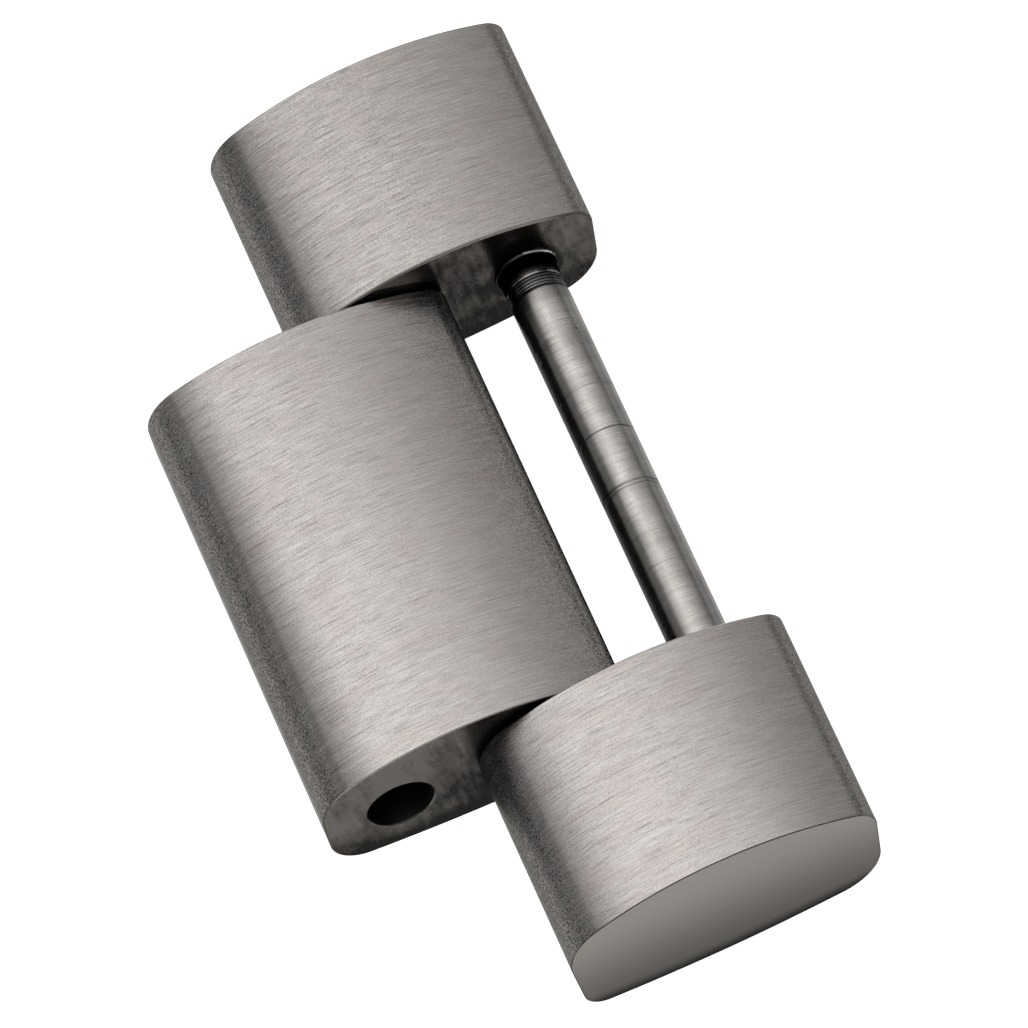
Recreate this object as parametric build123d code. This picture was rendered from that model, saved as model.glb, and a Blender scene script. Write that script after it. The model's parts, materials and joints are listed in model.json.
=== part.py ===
from build123d import *
from math import asin, cos, pi, radians, sin
import os

# A removable link of a watch bracelet, in millimetres.
# Two outer links carry one wider centre link between them on a hidden hinge pin.
# The link screw crosses the gap at the other end, where the next centre link hooks on.
# The origin is on the axis of the centre link's open bore, halfway across the bracelet.
# X runs along the bracelet towards the link screw, Y along the pins, Z away from the wrist.

# Driving sizes across the bracelet
BRACELET_WIDTH = 20.0
CENTRE_WIDTH = 9.9
SIDE_PLAY = 0.10

# Driving sizes along the bracelet: from one pin of a link to its other pin
PIN_PITCH = 3.32
REST_SWING = 4.0

# Section of the outer links and of the slightly smaller centre link
OUTER_LENGTH = 6.58
OUTER_THICKNESS = 3.38
CENTRE_LENGTH = 6.50
CENTRE_THICKNESS = 3.30
CROWN_RADIUS = 6.7
UNDERSIDE_RADIUS = 28.0
EDGE_BREAK = 0.05
PIN_BELOW_MIDDLE = 0.25

# Ends of the sections. The end on the -X side is upright and well rounded towards the crown.
# The end on the +X side slopes in towards the wrist and is well rounded towards the underside,
# so that the bracelet can fold round the wrist.
UPRIGHT_CROWN_CORNER = 1.25
UPRIGHT_UNDERSIDE_CORNER = 0.50
CENTRE_CROWN_CORNER = 1.15
CENTRE_UNDERSIDE_CORNER = 0.80
SLOPING_CROWN_CORNER = 0.60
SLOPING_UNDERSIDE_CORNER = 1.10
END_SLOPE = 8.0

# Pins, bores and the link screw
OPEN_BORE_RADIUS = 0.69
HINGE_BORE_RADIUS = 0.64
HINGE_PIN_RADIUS = 0.60
PRESSED_HOLE_RADIUS = 0.59
HINGE_PIN_REACH = 2.20
PRESSED_HOLE_DEPTH = 2.30
PIN_CHAMFER = 0.12

SHAFT_RADIUS = 0.61
TIP_REACH = 2.35
TIP_HOLE_RADIUS = 0.64
TIP_HOLE_DEPTH = 2.60
TIP_CHAMFER = 0.15
GROOVE_RADIUS = 0.56
GROOVE_WIDTH = 0.55
GROOVE_FROM_FACE = 0.33
GROOVE_SLOPE = 0.04
THREAD_RADIUS = 0.69
THREAD_START = 0.35
THREAD_RUNOUT = 0.25
TAPPED_RADIUS = 0.73
HEAD_RADIUS = 1.00
HEAD_THICKNESS = 0.85
HEAD_EDGE = 0.06
COUNTERBORE_RADIUS = 1.06
COUNTERBORE_DEPTH = 0.95
SLOT_WIDTH = 0.36
SLOT_DEPTH = 0.42
MOUTH_BREAK = 0.07
TAPPED_MOUTH_BREAK = 0.04

# Worked out from the driving sizes
HALF_WIDTH = BRACELET_WIDTH / 2
CENTRE_HALF = CENTRE_WIDTH / 2
INNER_FACE = CENTRE_HALF + SIDE_PLAY
HINGE_X = PIN_PITCH * cos(radians(REST_SWING))
HINGE_Z = -PIN_PITCH * sin(radians(REST_SWING))
SCREW_X = HINGE_X + PIN_PITCH
SCREW_Z = HINGE_Z
HEAD_SEAT = HALF_WIDTH - COUNTERBORE_DEPTH


def end_rounds(half, top, bottom, crown_corner, underside_corner, slope):
    """The two corner rounds of the end of a section on its +X side. Each is given as its
    middle, its radius, and the directions, counted from straight up, between which it runs.
    The first touches the crown and the end, the second touches the end and the underside."""
    tilt = radians(slope)
    crown_reach = CROWN_RADIUS - crown_corner
    crown_turn = asin((half - crown_corner) / crown_reach)
    upper_x = half - crown_corner
    upper_z = top - CROWN_RADIUS + crown_reach * cos(crown_turn)
    # Slide the lower round down along the end until it touches the underside
    start_x = upper_x + (crown_corner - underside_corner) * cos(tilt)
    start_z = upper_z - (crown_corner - underside_corner) * sin(tilt)
    underside_z = bottom + UNDERSIDE_RADIUS
    reach = UNDERSIDE_RADIUS - underside_corner
    rise = start_z - underside_z
    along = start_x * sin(tilt) + rise * cos(tilt)
    slide = along + (along**2 - start_x**2 - rise**2 + reach**2) ** 0.5
    lower_x = start_x - slide * sin(tilt)
    lower_z = start_z - slide * cos(tilt)
    underside_turn = asin(lower_x / reach)
    return (
        ((upper_x, upper_z), crown_corner, crown_turn, pi / 2 + tilt),
        ((lower_x, lower_z), underside_corner, pi / 2 + tilt, pi - underside_turn),
    )


def round_points(middle, radius, start, stop, side):
    """First, middle and last point of a corner round, mirrored to the -X side for side -1."""
    turns = (start, (start + stop) / 2, stop)
    return [(side * (middle[0] + radius * sin(turn)), middle[1] + radius * cos(turn)) for turn in turns]


def link_section(length, thickness, upright_corners):
    """Closed outline of a link, seen along the pins: a high crown over a nearly flat
    underside, one upright and one sloping end, all four corners rounded. Its pins lie on
    the X axis, below the middle of its thickness."""
    half = length / 2
    top = PIN_BELOW_MIDDLE + thickness / 2
    bottom = PIN_BELOW_MIDDLE - thickness / 2
    sloping = end_rounds(half, top, bottom, SLOPING_CROWN_CORNER, SLOPING_UNDERSIDE_CORNER, END_SLOPE)
    upright = end_rounds(half, top, bottom, *upright_corners, 0)
    sloping_high, sloping_low = [round_points(*corner, 1) for corner in sloping]
    upright_high, upright_low = [round_points(*corner, -1) for corner in upright]
    with BuildSketch(Plane.XZ) as section:
        with BuildLine():
            ThreePointArc(upright_high[0], (0, top), sloping_high[0])
            ThreePointArc(*sloping_high)
            Line(sloping_high[2], sloping_low[0])
            ThreePointArc(*sloping_low)
            ThreePointArc(sloping_low[2], (0, bottom), upright_low[2])
            ThreePointArc(*upright_low[::-1])
            Line(upright_low[0], upright_high[2])
            ThreePointArc(*upright_high[::-1])
        make_face()
    return section.sketch


def link_bar(length, thickness, upright_corners, middle_x, y_low, y_high):
    """A link's section carried along the pins from y_low to y_high, its end edges broken."""
    section = link_section(length, thickness, upright_corners)
    bar = extrude(section, amount=y_high - y_low, dir=(0, 1, 0)).moved(Location((middle_x, y_low, 0)))
    rims = bar.edges().filter_by(lambda edge: edge.bounding_box().size.Y < 0.001)
    return chamfer(rims, EDGE_BREAK)


def rod(radius, x, z, y_low, y_high):
    """A solid cylinder along Y."""
    disc = Plane((x, y_low, z), x_dir=(1, 0, 0), z_dir=(0, 1, 0)) * Circle(radius)
    return extrude(disc, amount=y_high - y_low, dir=(0, 1, 0))


def cone(radius_low, radius_high, x, z, y_low, y_high):
    """A solid cone frustum along Y."""
    low = Plane((x, y_low, z), x_dir=(1, 0, 0), z_dir=(0, 1, 0)) * Circle(radius_low)
    high = Plane((x, y_high, z), x_dir=(1, 0, 0), z_dir=(0, 1, 0)) * Circle(radius_high)
    return loft([low, high])


def make_centre_link():
    """The wide middle link: an open bore at one end, the hinge bore at the other."""
    corners = (CENTRE_CROWN_CORNER, CENTRE_UNDERSIDE_CORNER)
    bar = link_bar(CENTRE_LENGTH, CENTRE_THICKNESS, corners, PIN_PITCH / 2, -CENTRE_HALF, CENTRE_HALF)
    for x, radius in ((0, OPEN_BORE_RADIUS), (PIN_PITCH, HINGE_BORE_RADIUS)):
        bar -= rod(radius, x, 0, -CENTRE_HALF - 1, CENTRE_HALF + 1)
        wide = radius + MOUTH_BREAK
        bar -= cone(radius, wide, x, 0, CENTRE_HALF - MOUTH_BREAK, CENTRE_HALF)
        bar -= cone(wide, radius, x, 0, -CENTRE_HALF, -CENTRE_HALF + MOUTH_BREAK)
    # It hangs a little out of line with the outer links, as it was laid down
    return bar.rotate(Axis.Y, REST_SWING)


def outer_link_bar(y_low, y_high):
    """The bar that both outer links are cut from, carried by the hinge pin and the screw."""
    corners = (UPRIGHT_CROWN_CORNER, UPRIGHT_UNDERSIDE_CORNER)
    bar = link_bar(OUTER_LENGTH, OUTER_THICKNESS, corners, PIN_PITCH / 2, y_low, y_high)
    return bar.moved(Location((HINGE_X, 0, HINGE_Z)))


def make_near_outer_link():
    """The outer link with a plain side face: two blind holes open towards the centre link."""
    link = outer_link_bar(-HALF_WIDTH, -INNER_FACE)
    link -= rod(PRESSED_HOLE_RADIUS, HINGE_X, HINGE_Z, -INNER_FACE - PRESSED_HOLE_DEPTH, -INNER_FACE)
    link -= rod(TIP_HOLE_RADIUS, SCREW_X, SCREW_Z, -INNER_FACE - TIP_HOLE_DEPTH, -INNER_FACE)
    wide = TIP_HOLE_RADIUS + MOUTH_BREAK
    link -= cone(TIP_HOLE_RADIUS, wide, SCREW_X, SCREW_Z, -INNER_FACE - MOUTH_BREAK, -INNER_FACE)
    return link


def make_far_outer_link():
    """The outer link that the screw goes in through: counterbore outside, thread inside."""
    link = outer_link_bar(INNER_FACE, HALF_WIDTH)
    link -= rod(PRESSED_HOLE_RADIUS, HINGE_X, HINGE_Z, INNER_FACE, INNER_FACE + PRESSED_HOLE_DEPTH)
    link -= rod(TAPPED_RADIUS, SCREW_X, SCREW_Z, INNER_FACE, HALF_WIDTH)
    link -= rod(COUNTERBORE_RADIUS, SCREW_X, SCREW_Z, HEAD_SEAT, HALF_WIDTH)
    wide = TAPPED_RADIUS + TAPPED_MOUTH_BREAK
    link -= cone(wide, TAPPED_RADIUS, SCREW_X, SCREW_Z, INNER_FACE, INNER_FACE + TAPPED_MOUTH_BREAK)
    rim = COUNTERBORE_RADIUS + EDGE_BREAK
    link -= cone(COUNTERBORE_RADIUS, rim, SCREW_X, SCREW_Z, HALF_WIDTH - EDGE_BREAK, HALF_WIDTH)
    return link


def make_hinge_pin():
    """The permanent pin, pressed into both outer links; the centre link turns on it."""
    reach = INNER_FACE + HINGE_PIN_REACH
    point = HINGE_PIN_RADIUS - PIN_CHAMFER
    pin = rod(HINGE_PIN_RADIUS, HINGE_X, HINGE_Z, -reach + PIN_CHAMFER, reach - PIN_CHAMFER)
    pin += cone(point, HINGE_PIN_RADIUS, HINGE_X, HINGE_Z, -reach, -reach + PIN_CHAMFER)
    pin += cone(HINGE_PIN_RADIUS, point, HINGE_X, HINGE_Z, reach - PIN_CHAMFER, reach)
    return pin


def make_link_screw():
    """The link screw, turned about its own axis: chamfered tip, smooth shaft with a
    turned groove, threaded part and slotted head. Its outline is radius against Y."""
    tip = -INNER_FACE - TIP_REACH
    groove_end = INNER_FACE - GROOVE_FROM_FACE
    groove_start = groove_end - GROOVE_WIDTH
    thread_start = INNER_FACE + THREAD_START
    thread_end = HEAD_SEAT - THREAD_RUNOUT
    thread_height = THREAD_RADIUS - SHAFT_RADIUS
    head_top = HEAD_SEAT + HEAD_THICKNESS
    outline = [
        (0, tip),
        (SHAFT_RADIUS - TIP_CHAMFER, tip),
        (SHAFT_RADIUS, tip + TIP_CHAMFER),
        (SHAFT_RADIUS, groove_start),
        (GROOVE_RADIUS, groove_start + GROOVE_SLOPE),
        (GROOVE_RADIUS, groove_end - GROOVE_SLOPE),
        (SHAFT_RADIUS, groove_end),
        (SHAFT_RADIUS, thread_start),
        (THREAD_RADIUS, thread_start + thread_height),
        (THREAD_RADIUS, thread_end - thread_height),
        (SHAFT_RADIUS, thread_end),
        (SHAFT_RADIUS, HEAD_SEAT),
        (HEAD_RADIUS, HEAD_SEAT),
        (HEAD_RADIUS, head_top - HEAD_EDGE),
        (HEAD_RADIUS - HEAD_EDGE, head_top),
        (0, head_top),
    ]
    with BuildPart() as screw:
        with BuildSketch(Plane.XY):
            with BuildLine():
                Polyline(*outline, close=True)
            make_face()
        revolve(axis=Axis.Y)
    slot = Box(2 * HEAD_RADIUS + 1, 2 * SLOT_DEPTH, SLOT_WIDTH).moved(Location((0, head_top, 0)))
    body = screw.part - slot
    return body.moved(Location((SCREW_X, 0, SCREW_Z)))


PIECES = {
    "centre_link": make_centre_link,
    "near_outer_link": make_near_outer_link,
    "far_outer_link": make_far_outer_link,
    "hinge_pin": make_hinge_pin,
    "link_screw": make_link_screw,
}

os.makedirs("parts", exist_ok=True)
for name, make in PIECES.items():
    solid = make()
    solid.label = name
    export_step(solid, f"parts/{name}.step")
    print(name, round(solid.volume, 3), "mm3")
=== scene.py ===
# %% [markdown]
# # A watch bracelet link, dressed in brushed and polished metal
#
# A removable bracelet link is three bars of metal. One wide centre link sits between two
# outer links on a hidden hinge pin, and a slotted link screw crosses the gap at the other end.
# The imported model gives each bar its size and place. This lesson makes finer surfaces for the
# same five pieces, gives each surface its finish, and lights them as small metal parts are lit.

# %% Load the frame and read the boxes of its parts
import json
from math import asin, cos, pi, radians, sin, sqrt

import bmesh
import bpy
import numpy as np
from mathutils import Matrix, Vector


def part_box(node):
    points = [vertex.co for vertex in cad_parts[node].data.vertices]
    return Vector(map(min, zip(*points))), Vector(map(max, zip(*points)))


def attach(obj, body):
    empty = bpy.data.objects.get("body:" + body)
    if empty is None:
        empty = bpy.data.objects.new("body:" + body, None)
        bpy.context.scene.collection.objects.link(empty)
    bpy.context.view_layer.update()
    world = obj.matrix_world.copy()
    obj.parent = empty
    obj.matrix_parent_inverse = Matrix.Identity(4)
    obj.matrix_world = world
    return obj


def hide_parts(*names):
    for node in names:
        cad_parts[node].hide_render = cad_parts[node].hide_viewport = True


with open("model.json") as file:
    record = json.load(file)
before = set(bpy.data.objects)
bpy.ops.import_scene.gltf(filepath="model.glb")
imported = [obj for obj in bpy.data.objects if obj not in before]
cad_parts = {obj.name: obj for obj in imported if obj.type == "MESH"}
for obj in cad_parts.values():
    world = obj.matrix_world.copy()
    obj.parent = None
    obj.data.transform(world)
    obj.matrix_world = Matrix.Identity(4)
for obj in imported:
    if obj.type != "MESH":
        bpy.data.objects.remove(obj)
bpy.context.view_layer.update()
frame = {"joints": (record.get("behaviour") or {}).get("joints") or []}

MM = 0.001

# %% [markdown]
# ## The sizes of the link
#
# All three bars have the same kind of section: a high crown, a nearly flat underside, one
# upright end, one end that slopes in towards the wrist, and four rounded corners. They could
# be drawn by hand, but a few radii say it all, so the sizes are named once, in millimetres,
# and every surface is worked out from them. Each kind of edge has a small round of its own:
# crisp at the outer sides, softest where the screw goes into the far link. Brushing takes a
# hair off the skin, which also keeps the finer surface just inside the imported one. The place
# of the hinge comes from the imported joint, so the surfaces cannot drift from it.

# %% Driving sizes, in millimetres
HALF_WIDTH = 10.0
CENTRE_HALF = 4.95
INNER_FACE = 5.05
PIN_PITCH = 3.32
REST_SWING = radians(4.0)
CROWN_RADIUS = 6.7
UNDERSIDE_RADIUS = 28.0
PIN_BELOW_MIDDLE = 0.25
EDGE_BREAK = 0.05
SOFT_EDGE = 0.06
CENTRE_EDGE = 0.03
CRISP_EDGE = 0.02
BRUSHED_OFF = 0.005
SLOPING_END = {"crown_corner": 0.60, "underside_corner": 1.10, "slope": radians(8.0)}
OUTER_SECTION = {
    "length": 6.58,
    "thickness": 3.38,
    "upright": {"crown_corner": 1.25, "underside_corner": 0.50, "slope": 0.0},
}
CENTRE_SECTION = {
    "length": 6.50,
    "thickness": 3.30,
    "upright": {"crown_corner": 1.15, "underside_corner": 0.80, "slope": 0.0},
}

swing = next(joint for joint in frame["joints"] if joint["name"] == "centre_swing")
HINGE_X = swing["pos_m"][0] / MM
HINGE_Z = swing["pos_m"][2] / MM
SCREW_X = HINGE_X + PIN_PITCH
print("hinge axis at x, z in mm:", round(HINGE_X, 3), round(HINGE_Z, 3))

# %% [markdown]
# ## The outline of a bar
#
# On the bench the section is milled as one long bar and the links are cut from it. The outline
# is six arcs and two straight ends that run into each other without a corner. It could be a
# Bezier curve, but an arc of a circle needs only its middle, its radius and two angles, and it
# gives the direction that the surface faces at no cost, so that is how it is written.

# %% Half an outline, for each of the two ends
ARC_STEPS = {"crown": 64, "corner": 22, "end": 14, "underside": 40, "middle_line": 34}


def arc(middle, radius, start, stop, steps):
    """Points middle + radius * (sin a, cos a) for angles a from straight up, and (sin a, cos a)
    itself, which is the direction that the surface faces there."""
    angle = np.linspace(start, stop, steps + 1)
    facing = np.stack([np.sin(angle), np.cos(angle)], axis=1)
    return np.array(middle) + radius * facing, facing


def half_outline(length, thickness, crown_corner, underside_corner, slope):
    """Half an outline, from the top of the crown round one end to the middle of the underside,
    with the direction that each point faces. Circles that touch from inside have middles one
    radius less the other apart. The lower corner's middle is slid down beside the end, by s,
    until |start + s * down - middle of the underside| is that far."""
    half = length / 2
    crown_middle = PIN_BELOW_MIDDLE + thickness / 2 - CROWN_RADIUS
    under_middle = np.array([0.0, PIN_BELOW_MIDDLE - thickness / 2 + UNDERSIDE_RADIUS])
    crown_reach = CROWN_RADIUS - crown_corner
    under_reach = UNDERSIDE_RADIUS - underside_corner
    crown_turn = asin((half - crown_corner) / crown_reach)
    upper = np.array([half - crown_corner, crown_middle + crown_reach * cos(crown_turn)])
    outwards = np.array([cos(slope), -sin(slope)])
    down = np.array([-sin(slope), -cos(slope)])
    start = upper + (crown_corner - underside_corner) * outwards
    away = start - under_middle
    slide = sqrt((away @ down) ** 2 - away @ away + under_reach**2) - away @ down
    lower = start + slide * down
    under_turn = pi - asin(lower[0] / under_reach)
    end_turn = pi / 2 + slope
    end_points = np.linspace(
        upper + crown_corner * outwards, lower + underside_corner * outwards, ARC_STEPS["end"] + 1
    )
    runs = [
        arc((0, crown_middle), CROWN_RADIUS, 0, crown_turn, ARC_STEPS["crown"]),
        arc(upper, crown_corner, crown_turn, end_turn, ARC_STEPS["corner"]),
        (end_points, np.broadcast_to(outwards, end_points.shape)),
        arc(lower, underside_corner, end_turn, under_turn, ARC_STEPS["corner"]),
        arc(under_middle, UNDERSIDE_RADIUS, under_turn, pi, ARC_STEPS["underside"]),
    ]
    points = np.concatenate([run[0][(i > 0):] for i, run in enumerate(runs)])
    facing = np.concatenate([run[1][(i > 0):] for i, run in enumerate(runs)])
    points = points - BRUSHED_OFF * facing
    points[-1, 0] = 0.0
    facing[-1] = (0.0, -1.0)
    return points, facing


def right_half(section):
    """From the top of the crown round the sloping end to the middle of the underside."""
    return half_outline(section["length"], section["thickness"], **SLOPING_END)


def left_half(section):
    """From the middle of the underside round the upright end to the top of the crown."""
    points, facing = half_outline(section["length"], section["thickness"], **section["upright"])
    mirror = np.array([-1.0, 1.0])
    return points[::-1] * mirror, facing[::-1] * mirror


outline_points = len(right_half(OUTER_SECTION)[0])
print("points on half an outline:", outline_points)

# %% [markdown]
# ## Sheets that become one closed shell
#
# A bar could start as a cube with its holes cut out, but then its faces would be long slivers.
# Here each face of a bar is a grid of points, worked out by a formula as one numpy array. Grids
# that meet share the points of their common edge. So the sheets are put in one mesh, the doubled
# points are merged, and Blender turns all faces outwards. Each sheet remembers its finish.

# %% From grids of points to a mesh
MERGE_DISTANCE = 0.0002 * MM
SHARP_ANGLE = radians(38)


def grid_faces(rows, columns, first, closed):
    """Corner numbers of the quads between neighbouring rows and columns of a grid whose points
    start at number first. A closed grid also joins its last column to its first."""
    row = np.arange(rows - 1)[:, None] * columns
    column = np.arange(columns if closed else columns - 1)[None, :]
    after = (column + 1) % columns
    below = row + columns
    quads = np.stack([row + column, row + after, below + after, below + column], axis=-1)
    return first + quads.reshape(-1, 4)


def shell(name, sheets, finishes, body, node):
    """One piece from sheets of (points in mm, number of its finish, closed or not), with its
    doubled points merged, its faces turned outwards and its sharp edges marked."""
    first = 0
    corners, quads, numbers = [], [], []
    for points, number, closed in sheets:
        rows, columns = points.shape[:2]
        faces = grid_faces(rows, columns, first, closed)
        first += rows * columns
        corners.append(points.reshape(-1, 3) * MM)
        quads.append(faces)
        numbers.append(np.full(len(faces), number, np.int32))
    mesh = bpy.data.meshes.new(name)
    mesh.from_pydata(np.concatenate(corners), [], np.concatenate(quads))
    mesh.polygons.foreach_set("material_index", np.concatenate(numbers))
    for finish in finishes:
        mesh.materials.append(finish)
    work = bmesh.new()
    work.from_mesh(mesh)
    bmesh.ops.remove_doubles(work, verts=work.verts, dist=MERGE_DISTANCE)
    bmesh.ops.recalc_face_normals(work, faces=work.faces)
    open_edges = sum(not edge.is_manifold for edge in work.edges)
    work.to_mesh(mesh)
    work.free()
    mesh.shade_smooth()
    mesh.set_sharp_from_angle(angle=SHARP_ANGLE)
    piece = bpy.data.objects.new(name, mesh)
    bpy.context.scene.collection.objects.link(piece)
    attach(piece, body)
    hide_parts(node)
    mesh.calc_loop_triangles()
    print(name, "triangles:", len(mesh.loop_triangles), "open edges:", open_edges)
    return piece


# %% [markdown]
# ## The skin, the side faces and the bores of a bar
#
# The skin is the outline carried along the pins. Its two rims are rolled over with a small
# round, because the real links are tumbled after cutting and no edge is left sharp. A Bevel
# modifier could round them too, but here the outline itself is drawn in along a quarter circle,
# so the rows of points stay in order and the round has exactly the size that was named.
# A side face is made as two halves, left and right of its middle line. In each half the points
# lie on rays from the middle of that half's hole out to the rim, so the hole's round edge, the
# face and the wall of the bore all use the same columns of points.

# %% Sheets of a bar
ROUND_STEPS = 6
BODY_ROWS = 26
RAY_SHARES = [0.0, 0.03, 0.12, 0.25, 0.4, 0.55, 0.7, 0.85, 0.95, 0.99, 1.0]
SKIN, WORN, SATIN, BORE, RIM, BURR = range(6)


def place(plane_points, y, middle_x, lift, turn):
    """Puts section points (x, z) at y, moves them by (middle_x, lift), then turns them about
    the origin's Y axis by the angle t: x' = x cos t + z sin t and z' = z cos t - x sin t."""
    x = plane_points[..., 0] + middle_x
    z = plane_points[..., 1] + lift
    y = np.broadcast_to(y, x.shape)
    return np.stack([x * cos(turn) + z * sin(turn), y, z * cos(turn) - x * sin(turn)], axis=-1)


def skin_sheet(section, low, high):
    """The outline swept from one side to the other. Over the edge radius e of each side it
    draws in along a quarter circle: inset e(1 - sin a), way in e(1 - cos a), for a from 0 to
    a right angle."""
    right_points, right_facing = right_half(section)
    left_points, left_facing = left_half(section)
    points = np.concatenate([right_points, left_points[1:-1]])
    facing = np.concatenate([right_facing, left_facing[1:-1]])
    turn = np.linspace(0, pi / 2, ROUND_STEPS + 1)
    inset = 1 - np.sin(turn)
    step_in = 1 - np.cos(turn)
    body_rows = np.linspace(low["y"] + low["edge"], high["y"] - high["edge"], BODY_ROWS)[1:-1]
    low_rows = low["y"] + low["edge"] * step_in
    high_rows = high["y"] - high["edge"] * step_in
    y = np.concatenate([low_rows, body_rows, high_rows[::-1]])
    plain = np.zeros(len(body_rows))
    pull = np.concatenate([low["edge"] * inset, plain, high["edge"] * inset[::-1]])
    grid = points[None] - pull[:, None, None] * facing[None]
    return grid, y[:, None]


def half_loop(section, side, edge):
    """The closed loop round one half of a side face: half the drawn-in outline, and back along
    the straight middle line. Side 1 is the half with the sloping end, side -1 the other."""
    points, facing = (right_half if side > 0 else left_half)(section)
    points = points - edge * facing
    back = np.linspace(points[-1], points[0], ARC_STEPS["middle_line"] + 1)[1:-1]
    return np.concatenate([points, back])


def ray_directions(section, side):
    """Middle of the hole in one half of a side face, and the directions of its rays."""
    centre = np.array([side * PIN_PITCH / 2, 0.0])
    ray = half_loop(section, side, EDGE_BREAK) - centre
    return centre, ray / np.linalg.norm(ray, axis=1, keepdims=True)


print("columns of points round a hole:", len(ray_directions(OUTER_SECTION, 1)[1]))

# %% Faces and walls of a bar
def face_sheet(loop, circle):
    """Straight lines from the points of a hole's edge out to the loop. Rows stand close
    together near both edges, so that the shading of the flat face stays flat."""
    share = np.array(RAY_SHARES)[:, None, None]
    return circle[None] * (1 - share) + loop[None] * share


def bore_sheet(facing, centre, profile):
    """A wall of revolution: the columns' directions times each radius of a list of
    (radius, y), or of (one radius for every column, y)."""
    radii = np.stack([np.broadcast_to(radius, len(facing)) for radius, _ in profile])
    y = np.array([y for _, y in profile])
    return np.array(centre) + facing[None] * radii[..., None], y[:, None]


# %% [markdown]
# ## Shader sums written as sums
#
# A finish is a picture made of sums: noise times a mask, plus a streak, and so on. Joining Math
# nodes by hand hides the sum, so one small class wraps a node's output and lets the sum be
# written as it is thought.

# %% A wire that can be added and multiplied
def socket_named(sockets, name):
    """The socket with that number or identifier, or the first with that name."""
    if isinstance(name, int):
        return sockets[name]
    return next((s for s in sockets if s.identifier == name), None) or sockets[name]


class Wire:
    """One output of a node. Operators add the Math nodes that work the sum out."""

    def __init__(self, finish, socket):
        self.finish = finish
        self.socket = socket

    def at(self, name):
        """Another output of the same node."""
        return Wire(self.finish, socket_named(self.socket.node.outputs, name))

    def math(self, operation, first, second=0.0):
        return self.finish.node("ShaderNodeMath", {"operation": operation}, {0: first, 1: second})

    def __add__(self, other):
        return self.math("ADD", self, other)

    def __radd__(self, other):
        return self.math("ADD", other, self)

    def __sub__(self, other):
        return self.math("SUBTRACT", self, other)

    def __rsub__(self, other):
        return self.math("SUBTRACT", other, self)

    def __mul__(self, other):
        return self.math("MULTIPLY", self, other)

    def __rmul__(self, other):
        return self.math("MULTIPLY", other, self)

    def __abs__(self):
        return self.math("ABSOLUTE", self)


class Finish:
    """A material, with one method that adds any node to it."""

    def __init__(self, name):
        self.material = bpy.data.materials.new(name)
        self.material.use_nodes = True
        self.tree = self.material.node_tree
        self.tree.nodes.clear()

    def node(self, kind, settings=None, inputs=None):
        """Adds a node of that kind, sets its settings, then fills or links its inputs."""
        made = self.tree.nodes.new(kind)
        for name, value in (settings or {}).items():
            setattr(made, name, value)
        for name, value in (inputs or {}).items():
            socket = socket_named(made.inputs, name)
            if isinstance(value, Wire):
                self.tree.links.new(value.socket, socket)
            else:
                socket.default_value = value
        outputs = [s for s in made.outputs if s.enabled]
        return Wire(self, outputs[0]) if outputs else None

    def where(self):
        """The point on the piece, in millimetres."""
        point = self.node("ShaderNodeTexCoord").at("Object")
        return self.scaled(point, (1 / MM, 1 / MM, 1 / MM))

    def scaled(self, vector, factors):
        """A vector times one factor along each axis."""
        return self.node("ShaderNodeVectorMath", {"operation": "MULTIPLY"}, {0: vector, 1: factors})

    def split(self, vector):
        """The x, y and z of a vector."""
        parts = self.node("ShaderNodeSeparateXYZ", None, {0: vector})
        return parts.at("X"), parts.at("Y"), parts.at("Z")

    def noise(self, vector, scale=1.0, detail=2.0, roughness=0.5, kind="ShaderNodeTexNoise"):
        """Smooth noise between 0 and 1, with the given number of cells to a unit."""
        wanted = {"Vector": vector, "Scale": scale, "Detail": detail, "Roughness": roughness}
        return self.node(kind, None, wanted)

    def ramp(self, value, low, high):
        """0 below low, 1 above high, and a smooth rise between."""
        wanted = {"Value": value, "From Min": low, "From Max": high}
        return self.node("ShaderNodeMapRange", {"interpolation_type": "SMOOTHSTEP"}, wanted)

    def mix(self, share, first, second):
        """A colour between two colours."""
        wanted = {"Factor_Float": share, "A_Color": first, "B_Color": second}
        return self.node("ShaderNodeMix", {"data_type": "RGBA"}, wanted).at("Result_Color")

    def bump(self, height, depth_mm, below=None):
        """Turns a height between 0 and 1 into a tilt of the surface, depth_mm deep."""
        wanted = {"Height": height, "Distance": depth_mm * MM, "Strength": 1.0}
        if below is not None:
            wanted["Normal"] = below
        return self.node("ShaderNodeBump", None, wanted)

    def metal(self, **inputs):
        """Ends the tree in a metallic Principled shader and gives back the material."""
        wanted = {"Metallic": 1.0}
        wanted.update({name.replace("_", " "): value for name, value in inputs.items()})
        shader = self.node("ShaderNodeBsdfPrincipled", None, wanted)
        self.node("ShaderNodeOutputMaterial", None, {"Surface": shader})
        return self.material


def grey(level, warmth=0.0):
    """A grey of that level with a little more red than blue."""
    return (level * (1 + warmth), level, level * (1 - warmth), 1.0)
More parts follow.
